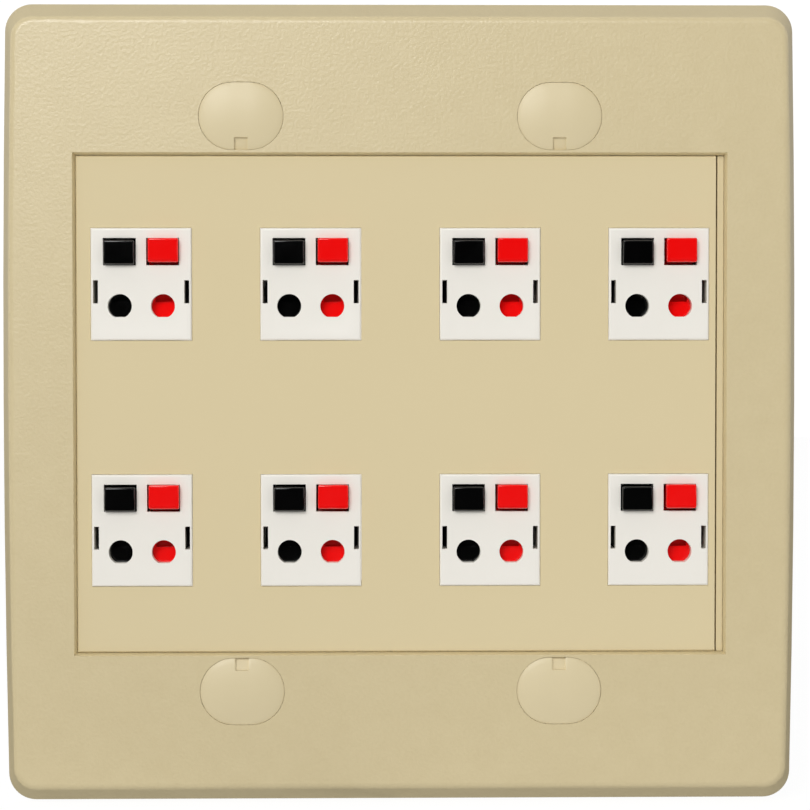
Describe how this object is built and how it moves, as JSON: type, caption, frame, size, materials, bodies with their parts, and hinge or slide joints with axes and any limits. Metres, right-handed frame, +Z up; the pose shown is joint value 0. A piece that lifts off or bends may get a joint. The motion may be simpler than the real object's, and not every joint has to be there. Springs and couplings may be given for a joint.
{
  "type": "speaker terminal plate",
  "caption": "Square wall plate with a smooth centre panel of push-button spring jacks for speaker wire and snap-in caps over its mounting screws.",
  "frame": {"origin": "centre of the back rim, in the plane that lies on the wall", "axes": "+X to the right seen from the front, +Y into the wall, +Z up"},
  "size_m": [0.1164, 0.0292, 0.1168],
  "materials": {
    "textured_ivory": "fine spark-eroded grain",
    "smooth_ivory": "smooth satin",
    "cap_ivory": "smooth satin",
    "white_plastic": "semi-gloss",
    "black_button": "semi-gloss",
    "red_button": "semi-gloss",
    "black_plastic": "satin",
    "contact_metal": "tin-plated spring bronze",
    "screw_steel": "zinc plated"
  },
  "bodies": {
    "plate": {"frame": "textured_ivory", "centre_panel": "smooth_ivory", "cap_upper_left": "cap_ivory", "cap_upper_right": "cap_ivory", "cap_lower_left": "cap_ivory", "cap_lower_right": "cap_ivory", "mounting_screws": "screw_steel", "jack_1_housing": "white_plastic", "jack_1_back": "black_plastic", "jack_1_black_contact": "contact_metal", "jack_1_red_contact": "contact_metal", "jack_2_housing": "white_plastic", "jack_2_back": "black_plastic", "jack_2_black_contact": "contact_metal", "jack_2_red_contact": "contact_metal", "jack_3_housing": "white_plastic", "jack_3_back": "black_plastic", "jack_3_black_contact": "contact_metal", "jack_3_red_contact": "contact_metal", "jack_4_housing": "white_plastic", "jack_4_back": "black_plastic", "jack_4_black_contact": "contact_metal", "jack_4_red_contact": "contact_metal", "jack_5_housing": "white_plastic", "jack_5_back": "black_plastic", "jack_5_black_contact": "contact_metal", "jack_5_red_contact": "contact_metal", "jack_6_housing": "white_plastic", "jack_6_back": "black_plastic", "jack_6_black_contact": "contact_metal", "jack_6_red_contact": "contact_metal", "jack_7_housing": "white_plastic", "jack_7_back": "black_plastic", "jack_7_black_contact": "contact_metal", "jack_7_red_contact": "contact_metal", "jack_8_housing": "white_plastic", "jack_8_back": "black_plastic", "jack_8_black_contact": "contact_metal", "jack_8_red_contact": "contact_metal"},
    "jack_1_black_button": {"jack_1_black_button": "black_button"},
    "jack_1_red_button": {"jack_1_red_button": "red_button"},
    "jack_2_black_button": {"jack_2_black_button": "black_button"},
    "jack_2_red_button": {"jack_2_red_button": "red_button"},
    "jack_3_black_button": {"jack_3_black_button": "black_button"},
    "jack_3_red_button": {"jack_3_red_button": "red_button"},
    "jack_4_black_button": {"jack_4_black_button": "black_button"},
    "jack_4_red_button": {"jack_4_red_button": "red_button"},
    "jack_5_black_button": {"jack_5_black_button": "black_button"},
    "jack_5_red_button": {"jack_5_red_button": "red_button"},
    "jack_6_black_button": {"jack_6_black_button": "black_button"},
    "jack_6_red_button": {"jack_6_red_button": "red_button"},
    "jack_7_black_button": {"jack_7_black_button": "black_button"},
    "jack_7_red_button": {"jack_7_red_button": "red_button"},
    "jack_8_black_button": {"jack_8_black_button": "black_button"},
    "jack_8_red_button": {"jack_8_red_button": "red_button"}
  },
  "joints": [
    {"name": "jack_1_black_press", "type": "slide", "parent": "plate", "child": "jack_1_black_button", "axis": [0, 1, 0], "range_m": [0, 0.0013], "stiffness_N_per_m": 300, "springref_m": -0.002, "deforming": ["jack_1_black_contact"]},
    {"name": "jack_1_red_press", "type": "slide", "parent": "plate", "child": "jack_1_red_button", "axis": [0, 1, 0], "range_m": [0, 0.0013], "stiffness_N_per_m": 300, "springref_m": -0.002, "deforming": ["jack_1_red_contact"]},
    {"name": "jack_2_black_press", "type": "slide", "parent": "plate", "child": "jack_2_black_button", "axis": [0, 1, 0], "range_m": [0, 0.0013], "stiffness_N_per_m": 300, "springref_m": -0.002, "deforming": ["jack_2_black_contact"]},
    {"name": "jack_2_red_press", "type": "slide", "parent": "plate", "child": "jack_2_red_button", "axis": [0, 1, 0], "range_m": [0, 0.0013], "stiffness_N_per_m": 300, "springref_m": -0.002, "deforming": ["jack_2_red_contact"]},
    {"name": "jack_3_black_press", "type": "slide", "parent": "plate", "child": "jack_3_black_button", "axis": [0, 1, 0], "range_m": [0, 0.0013], "stiffness_N_per_m": 300, "springref_m": -0.002, "deforming": ["jack_3_black_contact"]},
    {"name": "jack_3_red_press", "type": "slide", "parent": "plate", "child": "jack_3_red_button", "axis": [0, 1, 0], "range_m": [0, 0.0013], "stiffness_N_per_m": 300, "springref_m": -0.002, "deforming": ["jack_3_red_contact"]},
    {"name": "jack_4_black_press", "type": "slide", "parent": "plate", "child": "jack_4_black_button", "axis": [0, 1, 0], "range_m": [0, 0.0013], "stiffness_N_per_m": 300, "springref_m": -0.002, "deforming": ["jack_4_black_contact"]},
    {"name": "jack_4_red_press", "type": "slide", "parent": "plate", "child": "jack_4_red_button", "axis": [0, 1, 0], "range_m": [0, 0.0013], "stiffness_N_per_m": 300, "springref_m": -0.002, "deforming": ["jack_4_red_contact"]},
    {"name": "jack_5_black_press", "type": "slide", "parent": "plate", "child": "jack_5_black_button", "axis": [0, 1, 0], "range_m": [0, 0.0013], "stiffness_N_per_m": 300, "springref_m": -0.002, "deforming": ["jack_5_black_contact"]},
    {"name": "jack_5_red_press", "type": "slide", "parent": "plate", "child": "jack_5_red_button", "axis": [0, 1, 0], "range_m": [0, 0.0013], "stiffness_N_per_m": 300, "springref_m": -0.002, "deforming": ["jack_5_red_contact"]},
    {"name": "jack_6_black_press", "type": "slide", "parent": "plate", "child": "jack_6_black_button", "axis": [0, 1, 0], "range_m": [0, 0.0013], "stiffness_N_per_m": 300, "springref_m": -0.002, "deforming": ["jack_6_black_contact"]},
    {"name": "jack_6_red_press", "type": "slide", "parent": "plate", "child": "jack_6_red_button", "axis": [0, 1, 0], "range_m": [0, 0.0013], "stiffness_N_per_m": 300, "springref_m": -0.002, "deforming": ["jack_6_red_contact"]},
    {"name": "jack_7_black_press", "type": "slide", "parent": "plate", "child": "jack_7_black_button", "axis": [0, 1, 0], "range_m": [0, 0.0013], "stiffness_N_per_m": 300, "springref_m": -0.002, "deforming": ["jack_7_black_contact"]},
    {"name": "jack_7_red_press", "type": "slide", "parent": "plate", "child": "jack_7_red_button", "axis": [0, 1, 0], "range_m": [0, 0.0013], "stiffness_N_per_m": 300, "springref_m": -0.002, "deforming": ["jack_7_red_contact"]},
    {"name": "jack_8_black_press", "type": "slide", "parent": "plate", "child": "jack_8_black_button", "axis": [0, 1, 0], "range_m": [0, 0.0013], "stiffness_N_per_m": 300, "springref_m": -0.002, "deforming": ["jack_8_black_contact"]},
    {"name": "jack_8_red_press", "type": "slide", "parent": "plate", "child": "jack_8_red_button", "axis": [0, 1, 0], "range_m": [0, 0.0013], "stiffness_N_per_m": 300, "springref_m": -0.002, "deforming": ["jack_8_red_contact"]}
  ]
}
